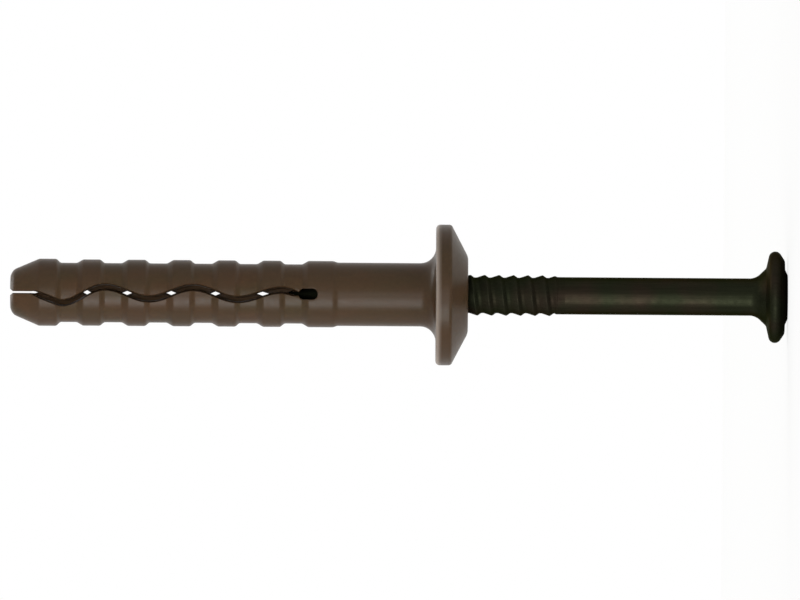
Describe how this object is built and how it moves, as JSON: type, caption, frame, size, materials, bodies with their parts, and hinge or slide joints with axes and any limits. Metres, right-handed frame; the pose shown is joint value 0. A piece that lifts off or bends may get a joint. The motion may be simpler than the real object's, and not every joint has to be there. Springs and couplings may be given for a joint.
{
  "type": "hammer fixing plug",
  "caption": "Hammer-in wall fixing: a moulded plastic sleeve with a mushroom collar, grip rings and wavy expansion slots, and a threaded steel drive nail set ready in its bore.",
  "frame": {"origin": "centre of the struck face of the nail's head, on which the fixing stands", "axes": "+Z along the common axis, from the nail's head up to the sleeve's nose, which is the way the nail is driven; +X and -X point to the two legs, and both slots open on the Y sides"},
  "size_m": [0.0132, 0.0132, 0.0729],
  "materials": {
    "moulded_nylon": "satin",
    "burnished_steel": "satin"
  },
  "bodies": {
    "sleeve": {"plug_sleeve": "moulded_nylon"},
    "nail": {"nail_screw": "burnished_steel"}
  },
  "joints": [
    {"name": "nail_drive", "type": "slide", "parent": "sleeve", "child": "nail", "axis": [0, 0, 1], "range_m": [0, 0.02785]}
  ]
}
